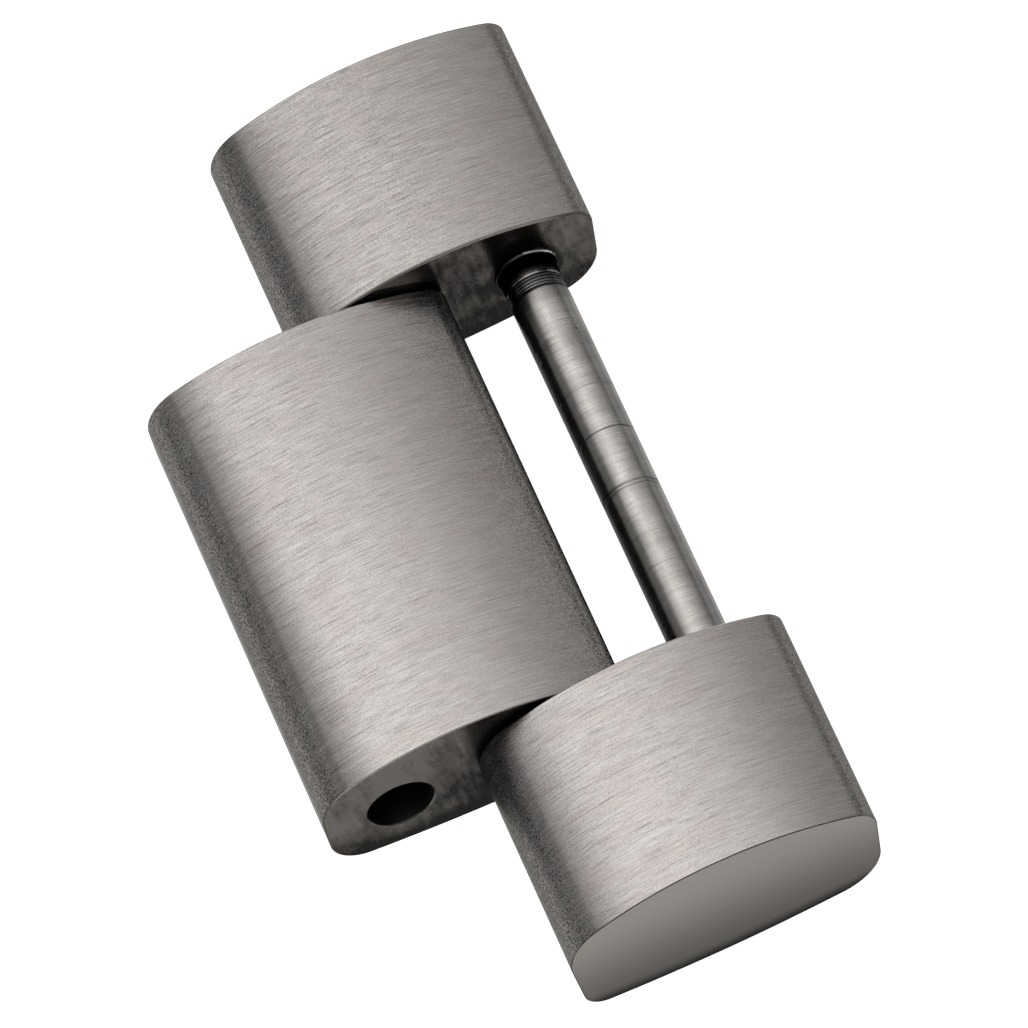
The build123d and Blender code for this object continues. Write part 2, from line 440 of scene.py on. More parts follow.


# %% [markdown]
# ## The brushed finish
#
# Crown and underside are brushed on an abrasive belt that runs along the bracelet. That
# leaves fine scratches along X, much longer than they are wide. Noise that is stretched along X
# and squeezed along Y has just that shape. It goes into the colour, because a scratched spot
# gives back less light, and into the bump, because a scratch tilts the surface. The belt does
# not reach the ends, which keep the darker speckled grain of the tumbling drum, and their
# darker colour is partly painted shade. The centre link's end in the gap is painted black and
# matte, as painted shade. More painted light and shade sits in the colour: a dark band where
# the crown turns into the upright end, a darker shoulder towards the sloping end, a sloping end
# painted lighter on the centre link, and rolled edges painted lighter along the top. All that
# depends on which way the surface faces, so the masks read the Normal of Texture Coordinate. A
# painted mask would do it as well, but it would have to be painted again whenever a radius
# changes. The tone also falls from the near side to the far side, as painted light.

# %% Brushed metal
METAL_LIGHT = grey(0.78, 0.035)
METAL_ROSE = (0.79, 0.725, 0.705, 1.0)
METAL_DARK = grey(0.26, 0.045)
TUMBLED_AND_SHADED = grey(0.155, 0.05)
EDGE_LIT = grey(0.46, 0.05)
EDGE_SHADED = grey(0.10, 0.05)
GAP_SHADE_COLOUR = grey(0.02, 0.08)
EDGE_TINT = grey(0.52)
BRUSH_RELIEF = 0.0045
SPECKS_PER_MM = 28.0
NEAR_TO_FAR_LIGHT_FALL = 0.016
SHOULDER_SHADE_SHARE = 0.12
SHOULDER_SHADE_FALL = 0.018

# Cells of noise to a millimetre, along X, Y and Z.
BRUSH = {
    "dash": (2.3, 62.0, 2.3),
    "hair": (0.8, 80.0, 0.8),
    "scratch": (1.1, 42.0, 1.1),
    "patch": (0.8, 2.0, 0.8),
}

# How far a surface faces along X, where each change begins and where it is complete.
FACING = {
    "fewer_lines": (-0.05, 0.30),
    "shaded_shoulder": (0.12, 0.40),
    "tumbled": (0.38, 0.74),
    "grained": (0.34, 0.68),
    "end_begins": (0.50, 0.62),
    "end_proper": (0.74, 0.85),
    "lit_upper_edge": (-0.40, -0.28),
}


def brushed_finish(name, polish, band, end_lift, calm, gap_shade=None):
    """Brushed on the crown and grained by tumbling on the ends, whose darker colour is partly
    painted shade. polish is the share of light metal. band is a dark share and how far a surface
    faces along X where that painted shade rises and falls, at the start of the upright end. The
    sloping end is painted lighter by a positive end_lift and darker by a negative one, and its
    grain weakened by calm. The last argument, if given, says how far a surface faces along X
    where the painted shade of the gap, black and matte, begins, and where it covers the metal."""
    finish = Finish(name)
    point = finish.where()
    dash = finish.noise(finish.scaled(point, BRUSH["dash"]), detail=1.0, roughness=0.6)
    hair = finish.noise(finish.scaled(point, BRUSH["hair"]), detail=1.0)
    speck = finish.noise(point, scale=SPECKS_PER_MM, detail=0.0)
    patch = finish.noise(finish.scaled(point, BRUSH["patch"]), detail=1.0)
    deep = finish.noise(finish.scaled(point, BRUSH["scratch"]), detail=0.0)
    scratch = finish.ramp(deep, 0.66, 0.80)
    facing_x, facing_y, _ = finish.split(finish.node("ShaderNodeTexCoord").at("Normal"))
    _, across, height = finish.split(point)

    lines = (dash - 0.5) * 1.3 + (hair - 0.5) * 0.8 - scratch * 0.3
    away = finish.ramp(facing_x, *FACING["fewer_lines"])
    tone = polish + (lines + (speck - 0.5) * 0.6) * (1.0 - 0.45 * away)
    # Painted light: the tone falls from the near side to the far side.
    tone = tone - across * NEAR_TO_FAR_LIGHT_FALL
    # Painted shade on the crown's shoulder towards the sloping end, weaker towards the far side.
    shaded_shoulder = finish.ramp(facing_x, *FACING["shaded_shoulder"])
    tone = tone - shaded_shoulder * (SHOULDER_SHADE_SHARE - across * SHOULDER_SHADE_FALL)
    light = finish.mix(finish.ramp(patch, 0.40, 0.70), METAL_LIGHT, METAL_ROSE)
    colour = finish.mix(tone, METAL_DARK, light)

    sideways = abs(facing_x)
    # The ends keep the darker grain of tumbling; their darker colour is also painted shade.
    tumbled = finish.ramp(sideways + (speck - 0.5) * 0.08, *FACING["tumbled"])
    colour = finish.mix(tumbled, colour, TUMBLED_AND_SHADED)
    grain = finish.ramp(sideways, *FACING["grained"]) * (1.0 - calm * away) * 2.8
    # Painted shade: a dark band where the crown turns into the upright end.
    dark_share, rising, falling = band
    band_shade = finish.ramp(facing_x, *rising) * (1.0 - finish.ramp(facing_x, *falling))
    # Painted light on the sloping end: end_lift lightens it on the centre link, darkens it a little
    # on the outer links.
    end_begins = finish.ramp(facing_x, *FACING["end_begins"])
    painted_end_light = end_begins * 0.2 + finish.ramp(facing_x, *FACING["end_proper"])
    shade = (1.0 + end_lift * painted_end_light) * (1.0 - dark_share * band_shade)
    colour = finish.scaled(colour, (1.0 + (speck - 0.5) * grain) * shade)

    # The rolled edges facing -Y are dulled, and their colour is painted light and shade: lighter
    # along the top of the crown, dark elsewhere.
    dulled_painted_edge = finish.ramp(0.0 - facing_y, 0.1, 0.8)
    upper = finish.ramp(height, 1.0, 1.4) * finish.ramp(facing_x, *FACING["lit_upper_edge"])
    painted_edge_colour = finish.mix(upper, EDGE_SHADED, EDGE_LIT)
    colour = finish.mix(dulled_painted_edge, colour, painted_edge_colour)
    relief = dash * 0.7 + hair * 0.3 - scratch * 0.4 + speck * (0.1 + 0.25 * tumbled)
    wanted = {
        "Roughness": 0.22 + (dash - 0.5) * 0.1 + tumbled * 0.12 + dulled_painted_edge * 0.4,
        "Normal": finish.bump(relief, BRUSH_RELIEF),
        "Specular_Tint": EDGE_TINT,
        "Specular_IOR_Level": 0.0,
    }
    # Painted shade: the centre link's end in the gap turns black and matte.
    if gap_shade:
        in_gap_shade = finish.ramp(facing_x + (speck - 0.5) * 0.25, *gap_shade)
        wanted["Metallic"] = 1.0 - in_gap_shade
        colour = finish.mix(in_gap_shade, colour, GAP_SHADE_COLOUR)
    return finish.metal(Base_Color=colour, **wanted)


outer_skin = brushed_finish(
    "brushed_outer_links",
    polish=0.64,
    band=(0.22, (-0.56, -0.42), (-0.39, -0.34)),
    end_lift=-0.08,
    calm=0.45,
)
centre_skin = brushed_finish(
    "brushed_centre_link",
    polish=0.69,
    band=(0.42, (-0.50, -0.34), (-0.32, -0.18)),
    end_lift=1.0,
    calm=0.0,
    gap_shade=(0.87, 0.97),
)
print("materials:", outer_skin.name, centre_skin.name, "nodes:", len(centre_skin.node_tree.nodes))

# %% [markdown]
# ## The satin side faces and the worked inner faces
#
# The outer side of the bracelet is a fine even satin: hardly any line shows, only a broad soft
# painted sheen that rises from the underside to the crown, and painted shade along the lowest
# edge.
# The faces that rub against their neighbours are duller. They are ground flat, stained by wear
# and skin, and never brushed, so their noise has large soft patches and short upright streaks.
# The stains follow the place: they sit near the hinge, where the darkening is partly painted
# shade between the parts, and low down, where it is painted shade. The far link is darkened
# round its screw, as painted shade, and a patch above the hinge there is lighter.
# One material can serve both kinds of inner face, because it reads the point's own place.

# %% The satin side
SATIN_SHADED = grey(0.103, 0.06)
SATIN_SHEEN = grey(0.262, 0.065)
SATIN_LOW_SHADE = grey(0.012, 0.06)
SATIN_SHEEN_RISE = (-1.8, 1.6)
LOW_SHADE_EDGE = (-0.02, 0.42)


def satin_finish():
    """Painted sheen: the tone rises with height. The underside lies on a circle of radius r, so its
    edge is x * x / (2 r) higher at a distance x from the middle, and the painted shade along the
    lowest edge follows it."""
    finish = Finish("satin_side")
    point = finish.where()
    speck = finish.noise(point, scale=45.0, detail=2.0)
    along, _, height = finish.split(point)
    cloud = finish.noise(point, scale=0.5, detail=1.0)
    # Painted sheen: the colour rises from dark to light with height.
    rise = finish.ramp(height, *SATIN_SHEEN_RISE) + (cloud - 0.5) * 0.1
    colour = finish.mix(rise, SATIN_SHADED, SATIN_SHEEN)
    # Painted shade along the lowest edge, following the bowed underside.
    from_middle = along - (HINGE_X + PIN_PITCH / 2)
    bow = from_middle * from_middle * (0.5 / UNDERSIDE_RADIUS)
    underside = HINGE_Z + PIN_BELOW_MIDDLE - OUTER_SECTION["thickness"] / 2
    clear = finish.ramp(height - bow, underside + LOW_SHADE_EDGE[0], underside + LOW_SHADE_EDGE[1])
    colour = finish.mix(clear, SATIN_LOW_SHADE, colour)
    wanted = {"Roughness": 0.42 + (speck - 0.5) * 0.06, "Normal": finish.bump(speck, 0.0012)}
    return finish.metal(Base_Color=colour, Specular_Tint=EDGE_TINT, **wanted)


satin = satin_finish()
print("material:", satin.name, "nodes:", len(satin.node_tree.nodes))

# %% The inner faces
WORN_CLEAN = grey(0.122, 0.07)
WORN_LIGHTER_PATCH = grey(0.30, 0.07)
WORN_STAIN_AND_SHADE = grey(0.018, 0.10)

# Where each mark begins and where it is complete, in millimetres or square millimetres.
MARKS = {
    "reach": (-0.1, 1.2),
    "low": (-1.55, -0.75),
    "corner": (0.5, 1.2),
    "screw_shade": (0.42, 0.75),
    "lighter_patch": (3.0, 3.3),
    "lighter_patch_until": (4.3, 4.9),
    "far_side": (-1.0, 1.0),
}


def worn_finish():
    """Darkest near the hinge, partly stain and partly painted shade between the parts, darker low
    down as painted shade, and darker at the centre link's free corner. The far link is darkened
    as painted shade within a circle round the screw, by the squared distance from its axis."""
    finish = Finish("worn_inner_face")
    point = finish.where()
    cloud = finish.noise(point, scale=1.7, detail=4.0, roughness=0.62)
    streak = finish.noise(finish.scaled(point, (7.0, 3.0, 1.4)), detail=3.0)
    speck = finish.noise(point, scale=22.0, detail=1.0)
    along, across, height = finish.split(point)

    # Darker towards the hinge: partly stain, partly painted shade between the parts.
    beside = abs(along - HINGE_X)
    reach = 1.3 - height * (0.2 - across * 0.015) - beside * (0.2 - across * 0.01)
    reach = reach + across * 0.01
    # Painted shade: darker low down.
    low = 1.0 - finish.ramp(height, *MARKS["low"])
    stain_and_shade = finish.ramp(reach, *MARKS["reach"]) * 0.86 + low * (0.5 - across * 0.04)
    stain_and_shade = stain_and_shade + (cloud - 0.5) * 1.4 + (streak - 0.5) * 1.0

    on_far = finish.ramp(across, *MARKS["far_side"])
    on_centre = 1.0 - on_far
    # Darker at the centre link's free corner.
    corner = finish.ramp(height * -0.6 - along * 0.55, *MARKS["corner"]) * on_centre
    # Painted shade: the far link is darkened within a circle round the screw.
    from_axis = (along - SCREW_X, height - HINGE_Z)
    from_screw = from_axis[0] * from_axis[0] + from_axis[1] * from_axis[1]
    screw_shade = (1.0 - finish.ramp(from_screw, *MARKS["screw_shade"])) * on_far
    # A lighter patch above the hinge on the far link.
    until = 1.0 - finish.ramp(along, *MARKS["lighter_patch_until"])
    lighter_patch = finish.ramp(height + along * 0.5, *MARKS["lighter_patch"]) * until * on_far

    stain_and_shade = (stain_and_shade + corner * 0.8 + screw_shade * 0.8) * (1.0 - lighter_patch)
    tone = stain_and_shade + (speck - 0.5) * 0.7
    clean = finish.mix(lighter_patch, WORN_CLEAN, WORN_LIGHTER_PATCH)
    wanted = {
        "Base_Color": finish.mix(tone, clean, WORN_STAIN_AND_SHADE),
        "Roughness": 0.13 + finish.ramp(stain_and_shade, 0.0, 1.0) * 0.1 + on_centre * 0.12,
        "Normal": finish.bump(streak * 0.5 + speck * 0.5, 0.0014),
        "Metallic": 0.92,
        "Specular_IOR_Level": 0.0,
        "Specular_Tint": EDGE_TINT,
    }
    return finish.metal(**wanted)


worn = worn_finish()
print("material:", worn.name, "nodes:", len(worn.node_tree.nodes))

# %% The walls of the bores, the broken edges and the raised lip
RIM_DARK = grey(0.02, 0.04)
RIM_LIT = grey(0.18, 0.035)
RIM_TINT = grey(0.12)
LIP_DARK = grey(0.03, 0.04)
LIP_FAINT_GLINT = grey(0.10, 0.035)
LIP_GLINT = grey(0.9, 0.035)


def bore_finish():
    """Rings along Y, as a reamer leaves them."""
    finish = Finish("reamed_bore")
    y = finish.split(finish.where())[1]
    ring = finish.noise(finish.node("ShaderNodeCombineXYZ", None, {"Y": y * 14.0}), detail=3.0)
    colour = finish.mix(ring, grey(0.04, 0.05), grey(0.11, 0.04))
    return finish.metal(Base_Color=colour, Roughness=0.42, Normal=finish.bump(ring, 0.003))


def nicked(name):
    """A new finish, its small nicks, which way it faces, and what all edges have in common."""
    finish = Finish(name)
    nick = finish.noise(finish.where(), scale=12.0, detail=3.0)
    facing = finish.split(finish.node("ShaderNodeTexCoord").at("Normal"))
    common = {"Roughness": 0.26 + nick * 0.12, "Normal": finish.bump(nick, 0.002)}
    return finish, nick, facing, common


def rim_finish():
    """The narrow broken edges, dull where the link was tumbled. Where they face up their colour is
    lighter, as painted light.
    """
    finish, nick, (_, _, facing_z), common = nicked("tumbled_edge")
    # Painted light: nicks are lighter where the edges face up.
    bright = nick * finish.ramp(facing_z, -0.3, 0.15)
    colour = finish.mix(bright, RIM_DARK, RIM_LIT)
    return finish.metal(Base_Color=colour, Specular_Tint=RIM_TINT, **common)


def burr_finish():
    """The raised lip round the tapped hole: dark, with a faint painted glint where it faces up and
    a bright painted glint where it faces up and towards +X.
    """
    finish, nick, (facing_x, _, facing_z), common = nicked("raised_burr_glint")
    # Painted glints on the lip, chosen by which way it faces.
    faint_glint = finish.ramp(nick * 0.6 + facing_z * 0.8 + facing_x * 0.4, 0.5, 0.9)
    glint = finish.ramp(nick * 0.4 + facing_z * 0.75 + facing_x * 0.65, 0.92, 1.06)
    colour = finish.mix(glint, finish.mix(faint_glint, LIP_DARK, LIP_FAINT_GLINT), LIP_GLINT)
    return finish.metal(Base_Color=colour, Specular_Tint=EDGE_TINT, **common)


bore = bore_finish()
rim = rim_finish()
burr = burr_finish()
print("materials:", [m.name for m in (bore, rim, burr)])

# %% [markdown]
# ## The three links
#
# A real link is a bar with two cross holes. The centre link is bored right through twice. Each
# outer link has a blind hole for the hinge pin. The near one has a second blind hole for the
# tip of the screw, and the far one a threaded hole that opens into a counterbore for its head.
# At the inner face that hole narrows to guide the shaft, and the drill threw up a thin lip
# round it. The walls of all holes grow from the same columns of points as the faces round them.

# %% Hole sizes and the walls between two side faces
OPEN_BORE = 0.69
HINGE_BORE = 0.64
PRESSED_HOLE = 0.59
PRESSED_DEPTH = 2.30
TIP_HOLE = 0.64
TIP_DEPTH = 2.60
DRILL_POINT = 0.35
MOUTH_BREAK = 0.04
PRESSED_BREAK = 0.04
TAPPED_MOUTH = 0.62
TAPPED_NECK = 0.08
LIP = {"width": 0.06, "height": 0.055}
COUNTERBORE = 1.06
HEAD_SEAT = 9.05
SEAT_BREAK = 0.02
THREAD_PITCH = 0.30
THREAD_FLANK = 5.0
THREAD_FLAT = 1.85
HOLE_CREST = 0.705
HOLE_ROOT = 0.755
ROWS_PER_TURN = 10
WALL_ROWS = {"through": 14, "blind": 9}
threaded = HEAD_SEAT - INNER_FACE - TAPPED_NECK
print("turns of thread in the far link:", round(threaded / THREAD_PITCH, 1))


def mouth(radius, face, inwards, size):
    """A broken edge at a hole's mouth: a quarter round from the face into the bore."""
    turn = np.linspace(0, pi / 2, 5)
    out = radius + size * (1 - np.sin(turn))
    depth = face + inwards * size * (1 - np.cos(turn))
    return list(zip(out, depth))


def through_bore(radius, low, high):
    """From one mouth to the other, through the whole bar, as (profile, finish) pairs."""
    rows = np.linspace(low + MOUTH_BREAK, high - MOUTH_BREAK, WALL_ROWS["through"])
    wall = [(radius, y) for y in rows]
    return [
        (mouth(radius, low, 1, MOUTH_BREAK), RIM),
        (wall, BORE),
        (mouth(radius, high, -1, MOUTH_BREAK), RIM),
    ]


def blind_hole(radius, face, inwards, depth, size):
    """From the mouth down to a drill point, closed at its middle. The point starts on a narrow
    step, 0.98 of the radius wide, which keeps the corner above it crisp."""
    bottom = face + inwards * depth
    rows = np.linspace(face + inwards * size, bottom, WALL_ROWS["blind"])
    wall = [(radius, y) for y in rows]
    point = [(radius * 0.98, bottom), (radius * 0.5, bottom + inwards * DRILL_POINT * 0.5)]
    tip = [(0.0, bottom + inwards * DRILL_POINT)]
    return [(mouth(radius, face, inwards, size), RIM), (wall + point + tip, BORE)]


def pressed_hole(face, inwards):
    """The blind hole that holds one end of the hinge pin."""
    return blind_hole(PRESSED_HOLE, face, inwards, PRESSED_DEPTH, PRESSED_BREAK)


def thread_wave(turn, y):
    """Height of a thread, 0 at its root and 1 at its crest. It rises one pitch along Y for
    each turn about Y. With p the phase from 0 to 1, it is flat - flank * |p - 1/2|, clipped to
    0 and 1, so its flanks are straight and its crest and root are flattened."""
    phase = (y / THREAD_PITCH - turn / (2 * pi)) % 1.0
    return np.clip(THREAD_FLAT - np.abs(phase - 0.5) * THREAD_FLANK, 0.0, 1.0)


# %% Put the sheets of a link together
def link_sheets(section, low, high, holes):
    """All sheets of a bar in its own plane: the skin, two halves of each side face, and the
    walls of its holes. low and high give y, edge radius and finishes of a side. holes gives, for
    the upright and the sloping half, the radius at each side and the (profile, finish) pairs
    of the walls. A profile may depend on the direction of the columns."""
    grid, y = skin_sheet(section, low, high)
    edge = ROUND_STEPS + 1
    sheets = [(grid[:edge], y[:edge], low["rim"]), (grid[-edge:], y[-edge:], high["rim"])]
    sheets.append((grid[edge - 1 : 1 - edge], y[edge - 1 : 1 - edge], SKIN))
    for half, (low_radius, high_radius, walls) in zip((-1, 1), holes):
        centre, facing = ray_directions(section, half)
        for radius, side in ((low_radius, low), (high_radius, high)):
            flat = face_sheet(half_loop(section, half, side["edge"]), centre + radius * facing)
            sheets.append((flat, side["y"], side["finish"]))
        turn = np.arctan2(facing[:, 0], facing[:, 1])
        for profile, finish in walls:
            profile = profile(turn) if callable(profile) else profile
            sheets.append((*bore_sheet(facing, centre, profile), finish))
    return sheets


def make_link(name, body, skin, sheets, middle_x, lift, turn):
    """Places a bar's sheets in the frame and makes them one piece."""
    placed = [(place(grid, y, middle_x, lift, turn), finish, True) for grid, y, finish in sheets]
    finishes = [skin, worn, satin, bore, rim, burr]
    return shell(name + "_surface", placed, finishes, body, name)


# %% Centre link
bore_edge = OPEN_BORE + MOUTH_BREAK
hinge_edge = HINGE_BORE + MOUTH_BREAK
centre_sheets = link_sheets(
    CENTRE_SECTION,
    {"y": -CENTRE_HALF, "edge": CENTRE_EDGE, "rim": SKIN, "finish": WORN},
    {"y": CENTRE_HALF, "edge": CENTRE_EDGE, "rim": SKIN, "finish": WORN},
    [
        (bore_edge, bore_edge, through_bore(OPEN_BORE, -CENTRE_HALF, CENTRE_HALF)),
        (hinge_edge, hinge_edge, through_bore(HINGE_BORE, -CENTRE_HALF, CENTRE_HALF)),
    ],
)
centre_link = make_link(
    "centre_link", "centre", centre_skin, centre_sheets, PIN_PITCH / 2, 0.0, REST_SWING
)

# %% Near outer link, plain outside and with two blind holes inside
pressed_edge = PRESSED_HOLE + PRESSED_BREAK
tip_hole = blind_hole(TIP_HOLE, -INNER_FACE, -1, TIP_DEPTH, MOUTH_BREAK)
near_sheets = link_sheets(
    OUTER_SECTION,
    {"y": -HALF_WIDTH, "edge": CRISP_EDGE, "rim": RIM, "finish": SATIN},
    {"y": -INNER_FACE, "edge": EDGE_BREAK, "rim": SKIN, "finish": WORN},
    [
        (0.0, pressed_edge, pressed_hole(-INNER_FACE, -1)),
        (0.0, TIP_HOLE + MOUTH_BREAK, tip_hole),
    ],
)
outer_middle = HINGE_X + PIN_PITCH / 2
near_link = make_link(
    "near_outer_link", "outer_links", outer_skin, near_sheets, outer_middle, HINGE_Z, 0.0
)


# %% Far outer link, with the threaded hole and the counterbore
def raised_lip(radius, face):
    """Half an ellipse round a hole, standing out of the face. For a from 0 to half a turn, the
    radius is radius + width (1 + cos a) / 2 and y is face - height sin a."""
    turn = np.linspace(0, pi, 11)
    out = radius + LIP["width"] * (1 + np.cos(turn)) / 2
    return list(zip(out, face - LIP["height"] * np.sin(turn)))


def tapped_wall(turn):
    """The narrow neck at the inner face, the threaded hole, the seat of the head, and the
    counterbore's wall. The thread fades in over the first turn and out over the last."""
    start = INNER_FACE + TAPPED_NECK
    neck = [(TAPPED_MOUTH, INNER_FACE), (TAPPED_MOUTH, start)]
    y = np.arange(start, HEAD_SEAT, THREAD_PITCH / ROWS_PER_TURN)
    fade = np.clip(np.minimum(y - start, HEAD_SEAT - y) / THREAD_PITCH, 0, 1)
    height = thread_wave(turn[None], y[:, None]) * fade[:, None]
    radii = HOLE_ROOT - (HOLE_ROOT - HOLE_CREST) * height
    seat = [(HOLE_ROOT, HEAD_SEAT), (COUNTERBORE - SEAT_BREAK, HEAD_SEAT)]
    seat.append((COUNTERBORE, HEAD_SEAT + SEAT_BREAK))
    outer_mouth = mouth(COUNTERBORE, HALF_WIDTH, -1, EDGE_BREAK)[::-1]
    return neck + list(zip(radii, y)) + seat + outer_mouth


tapped_edge = TAPPED_MOUTH + LIP["width"]
tapped_walls = [(raised_lip(TAPPED_MOUTH, INNER_FACE), BURR), (tapped_wall, BORE)]
far_sheets = link_sheets(
    OUTER_SECTION,
    {"y": INNER_FACE, "edge": SOFT_EDGE, "rim": SKIN, "finish": WORN},
    {"y": HALF_WIDTH, "edge": CRISP_EDGE, "rim": RIM, "finish": SATIN},
    [
        (pressed_edge, 0.0, pressed_hole(INNER_FACE, 1)),
        (tapped_edge, COUNTERBORE + EDGE_BREAK, tapped_walls),
    ],
)
far_link = make_link(
    "far_outer_link", "outer_links", outer_skin, far_sheets, outer_middle, HINGE_Z, 0.0
)

# %% [markdown]
# ## The turned finish of screw and pin
#
# The screw is turned on a lathe and polished while it spins, so every mark on it is a ring.
# Noise that changes quickly along Y and slowly across it gives such rings, and a mask of larger
# patches makes them come and go. Anisotropic gloss could stretch the highlight in the same way,
# but it shows no single ring. The rings and score lines that catch the eye are cut into the
# mesh itself, further on, and darkened here. The colour also holds painted light and shade: it
# is bright along the top, with darker flanks and a lighter strip low on one side. Over the
# groove it is darkened as painted shade, where the far link is mirrored, a painted glint rings
# the groove's upper end, and the head is coloured darker.

# %% Turned and polished metal
GRAZING_TINT = grey(0.45)
POLISH_RELIEF = 0.0008
SCORES = [
    {"at": 1.70, "width": 0.020, "depth": 0.004, "dark": 0.25},
    {"at": 0.62, "width": 0.024, "depth": 0.008, "dark": 0.60},
    {"at": -0.71, "width": 0.030, "depth": 0.008, "dark": 0.65},
    {"at": -0.80, "width": 0.024, "depth": 0.006, "dark": 0.50},
    {"at": -2.70, "width": 0.020, "depth": 0.003, "dark": 0.15},
]
GROOVE_SHADE = {"rises": (3.7, 4.8), "falls": (4.95, 5.35)}
HEAD_DARKENED = {"rises": (8.9, 9.05), "share": 0.35}
GLINT_RING = {"at": 4.60, "reach": (0.015, 0.04), "patches": (0.42, 0.56)}

# How far the shaft faces along X, where each change of its painted light and shade begins and
# is complete.
PAINTED_SHINE = {
    "flank": (-0.90, -0.82),
    "top": (-0.30, 0.08),
    "fall": (0.42, 0.76),
    "low_strip": (0.84, 0.97),
}


def turned_finish(name, polish, roughness):
    """Painted light and shade: brightest along the top, darker flanks, and a lighter strip low on
    the side away from the hinge. polish scales the whole colour."""
    finish = Finish(name)
    point = finish.where()
    ring = finish.noise(finish.scaled(point, (0.9, 42.0, 0.9)), detail=3.0, roughness=0.65)
    band = finish.noise(finish.scaled(point, (0.5, 5.0, 0.5)), detail=2.0)
    smear = finish.noise(finish.scaled(point, (3.0, 1.6, 3.0)), detail=3.0)
    speck = finish.noise(point, scale=19.0, detail=1.0)
    side = finish.split(finish.node("ShaderNodeTexCoord").at("Normal"))[0]
    across = finish.split(point)[1]

    # Painted light and shade: bright along the top, dark flanks, a lighter strip low on the side
    # away from the hinge.
    fall = finish.ramp(side, *PAINTED_SHINE["fall"])
    flank = finish.ramp(side, *PAINTED_SHINE["flank"])
    strip = finish.ramp(side, *PAINTED_SHINE["low_strip"])
    top = (0.42 + 0.30 * finish.ramp(side, *PAINTED_SHINE["top"])) * (1.0 - fall) * flank
    painted_shine = top + 0.15 * fall + 0.19 * strip + 0.08 * (1.0 - flank)
    marks = (ring - 0.5) * (0.25 + finish.ramp(smear, 0.42, 0.62) * 1.1) + (band - 0.5) * 0.4
    marks = marks + (smear - 0.5) * 0.6 + (speck - 0.5) * 0.3
    # Painted shade over the groove, where the far link's face is mirrored.
    until = 1.0 - finish.ramp(across, *GROOVE_SHADE["falls"])
    shaded_groove = finish.ramp(across, *GROOVE_SHADE["rises"]) * until
    # The head is coloured darker than the shaft.
    on_head = finish.ramp(across, *HEAD_DARKENED["rises"])
    share = painted_shine * (1.0 + marks) * (1.0 - shaded_groove) * (1.0 - HEAD_DARKENED["share"] * on_head) * polish

    for score in SCORES:
        edges = (0.2 * score["width"], 1.6 * score["width"])
        beside = finish.ramp(abs(across - score["at"]), *edges)
        share = share * (1.0 - score["dark"] * smear * 1.8 * (1.0 - beside))
    # Painted glint: a bright ring near the upper end of the groove.
    ring_glint = 1.0 - finish.ramp(abs(across - GLINT_RING["at"]), *GLINT_RING["reach"])
    share = share + ring_glint * finish.ramp(smear, *GLINT_RING["patches"]) * painted_shine * 0.8
    wanted = {
        "Base_Color": finish.mix(share, grey(0.0), grey(1.0, 0.035)),
        "Roughness": roughness + (band - 0.5) * 0.06 + (smear - 0.5) * 0.1,
        "Normal": finish.bump(ring * 0.8 + band * 0.3 + speck * 0.3, POLISH_RELIEF),
        "Specular_Tint": GRAZING_TINT,
    }
    return finish.metal(**wanted)


turned = turned_finish("turned_polished", polish=1.0, roughness=0.22)
ground = turned_finish("ground_pin", polish=0.8, roughness=0.16)
print("materials:", turned.name, ground.name)

# %% [markdown]
# ## The link screw
#
# One turned piece: a chamfered tip, a smooth shaft, a groove with fine rings, the thread, and
# the head with its slot. It could be a stack of cylinders with a box cut out, but a lathe part
# is one outline spun round, so it is one grid: a row for each place along Y and a column for
# each direction. Only the slot breaks the roundness. Its two walls lie on columns of the grid,
# so above the slot's floor the head goes on as two jaws, each a closed loop of its own.

# %% Sizes of the screw, in millimetres
SHAFT = 0.61
TIP_Y = -INNER_FACE - 2.35
TIP_CHAMFER = 0.15
TIP_ROUND = 0.03
NECK_ROUND = 0.04
THREAD_RUNOUT = 0.08
UNDER_HEAD = 0.03
GROOVE = {"from": 4.20, "to": 4.72, "radius": 0.575, "slope": 0.14}
GROOVE_RING = {"pitch": 0.072, "depth": 0.013}
RING_CLUSTER = {"from": 2.74, "to": 3.06, "pitch": 0.052, "depth": 0.004}
THREAD_CREST = 0.69
THREAD_FROM = 5.42
THREAD_TO = 8.74
HEAD = 1.00
HEAD_TOP = HEAD_SEAT + 0.85
HEAD_ROUND = 0.06
SLOT_HALF = 0.18
SLOT_FLOOR = HEAD_TOP - 0.42
SLOT_BREAK = 0.025
ARC_COLUMNS = 52
SLOT_COLUMNS = 8
JAW_SHARES = [0.0, 0.04, 0.3, 0.6, 0.9, 0.98, 1.0]
JAW_STEP = 0.15
print("length of the screw in mm:", round(HEAD_TOP - TIP_Y, 2))


def jaw_turn(radius, slot_half):
    """How far from the slot's direction the slot wall meets a circle of that radius."""
    return np.arcsin(np.clip(slot_half / np.maximum(radius, 1e-6), 0, 0.9))


def ring_turns(radius, slot_half):
    """Directions of a full ring's columns, counted from +X towards +Z: the narrow arc across
    each end of the slot, and the wide arc of each jaw between them."""
    edge = jaw_turn(radius, slot_half)[:, None]
    across = np.linspace(-1, 1, SLOT_COLUMNS + 1)[None, :-1]
    along = np.linspace(0, 1, ARC_COLUMNS + 1)[None, :-1]
    half = np.concatenate([edge * across, edge + (pi - 2 * edge) * along], axis=1)
    return np.concatenate([half, half + pi], axis=1)


